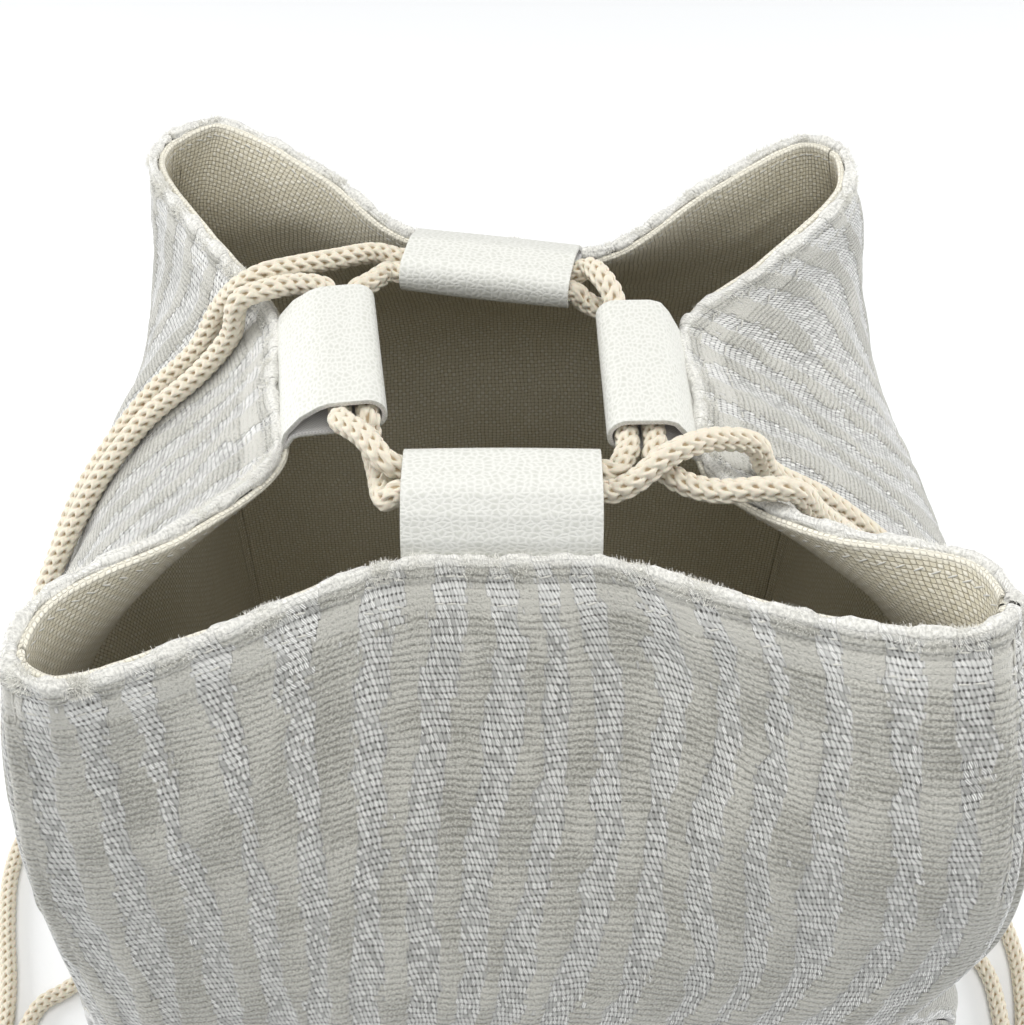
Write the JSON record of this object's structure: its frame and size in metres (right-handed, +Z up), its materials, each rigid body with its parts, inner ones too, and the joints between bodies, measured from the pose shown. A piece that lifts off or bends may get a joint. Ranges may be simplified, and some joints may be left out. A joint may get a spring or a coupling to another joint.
{
  "type": "drawstring bag",
  "caption": "Soft square fabric bag with a lining, a stiffened base and a mouth gathered by two drawcords through sewn leather tabs.",
  "frame": {"origin": "centre of the base's underside, on the surface the bag stands on", "axes": "+X to the bag's right seen from the front, -Y the front wall, +Z up"},
  "size_m": [0.3373, 0.2278, 0.233],
  "materials": {
    "velvet": "burnout velvet, vertical pile stripes",
    "linen": "coarse plain weave",
    "leather": "pebbled, semi matte",
    "cotton": "knitted cord",
    "board": "pressed fibre board"
  },
  "bodies": {
    "bag": {"outer_front": "velvet", "outer_right": "velvet", "outer_back": "velvet", "outer_left": "velvet", "lining_front": "linen", "lining_right": "linen", "lining_back": "linen", "lining_left": "linen", "outer_base": "velvet", "base_board": "board", "lining_base": "linen", "cord_b_tail_front": "cotton", "cord_b_tail_right": "cotton", "cord_a_tail_back": "cotton", "cord_a_tail_left": "cotton", "knot_left": "cotton", "knot_right": "cotton"},
    "tab_front": {"tab_front": "leather"},
    "tab_right": {"tab_right": "leather"},
    "tab_back": {"tab_back": "leather"},
    "tab_left": {"tab_left": "leather"},
    "corner_back_right": {"cord_a_back_right": "cotton", "cord_b_back_right": "cotton"},
    "corner_front_right": {"cord_a_front_right": "cotton"},
    "corner_front_left": {"cord_a_front_left": "cotton", "cord_b_front_left": "cotton"},
    "corner_back_left": {"cord_b_back_left": "cotton"},
    "run_back_left": {"cord_a_back_left": "cotton"},
    "run_front_right": {"cord_b_front_right": "cotton"}
  },
  "joints": [
    {"name": "mouth_front", "type": "slide", "parent": "bag", "child": "tab_front", "axis": [0, -1, 0], "range_m": [-0.003, 0.012]},
    {"name": "mouth_right", "type": "slide", "parent": "bag", "child": "tab_right", "axis": [0.9998, 0.0175, 0], "range_m": [-0.003, 0.012], "deforming": ["cord_b_tail_right", "cord_b_tail_front"]},
    {"name": "mouth_back", "type": "slide", "parent": "bag", "child": "tab_back", "axis": [0.1736, 0.9848, 0], "range_m": [-0.003, 0.012]},
    {"name": "mouth_left", "type": "slide", "parent": "bag", "child": "tab_left", "axis": [-0.9903, -0.1392, 0], "range_m": [-0.003, 0.012], "deforming": ["cord_a_tail_left", "cord_a_tail_back"]},
    {"name": "cord_slide_back_right", "type": "slide", "parent": "tab_back", "child": "corner_back_right", "axis": [0.9848, -0.1736, 0], "range_m": [-0.00257, 0.00999], "deforming": ["cord_a_back_right", "cord_b_back_right"]},
    {"name": "cord_slide_front_right", "type": "slide", "parent": "tab_right", "child": "corner_front_right", "axis": [0.0175, -0.9998, 0], "range_m": [-0.00315, 0.01231], "deforming": ["cord_a_front_right"]},
    {"name": "cord_slide_front_left", "type": "slide", "parent": "tab_front", "child": "corner_front_left", "axis": [-1, 0, 0], "range_m": [-0.00271, 0.01053], "deforming": ["cord_a_front_left", "cord_b_front_left"]},
    {"name": "cord_slide_back_left", "type": "slide", "parent": "tab_left", "child": "corner_back_left", "axis": [-0.1392, 0.9903, 0], "range_m": [-0.00423, 0.01662], "deforming": ["cord_b_back_left"]},
    {"name": "rim_run_back_left", "type": "slide", "parent": "tab_left", "child": "run_back_left", "axis": [0.7193, 0.6947, 0], "range_m": [-0.00495, 0.01952], "deforming": ["cord_a_back_left"]},
    {"name": "rim_run_front_right", "type": "slide", "parent": "tab_right", "child": "run_front_right", "axis": [-0.7009, -0.7133, 0], "range_m": [-0.00438, 0.01722], "deforming": ["cord_b_front_right"]}
  ],
  "couplings": [
    {"joint": "mouth_right", "follows": "mouth_front", "ratio": 1},
    {"joint": "mouth_back", "follows": "mouth_front", "ratio": 1},
    {"joint": "mouth_left", "follows": "mouth_front", "ratio": 1},
    {"joint": "cord_slide_back_right", "follows": "mouth_front", "ratio": 0.8243},
    {"joint": "cord_slide_front_right", "follows": "mouth_front", "ratio": 1.0176},
    {"joint": "cord_slide_front_left", "follows": "mouth_front", "ratio": 0.8693},
    {"joint": "cord_slide_back_left", "follows": "mouth_front", "ratio": 1.3764},
    {"joint": "rim_run_back_left", "follows": "mouth_front", "ratio": 1.618},
    {"joint": "rim_run_front_right", "follows": "mouth_front", "ratio": 1.4265}
  ]
}
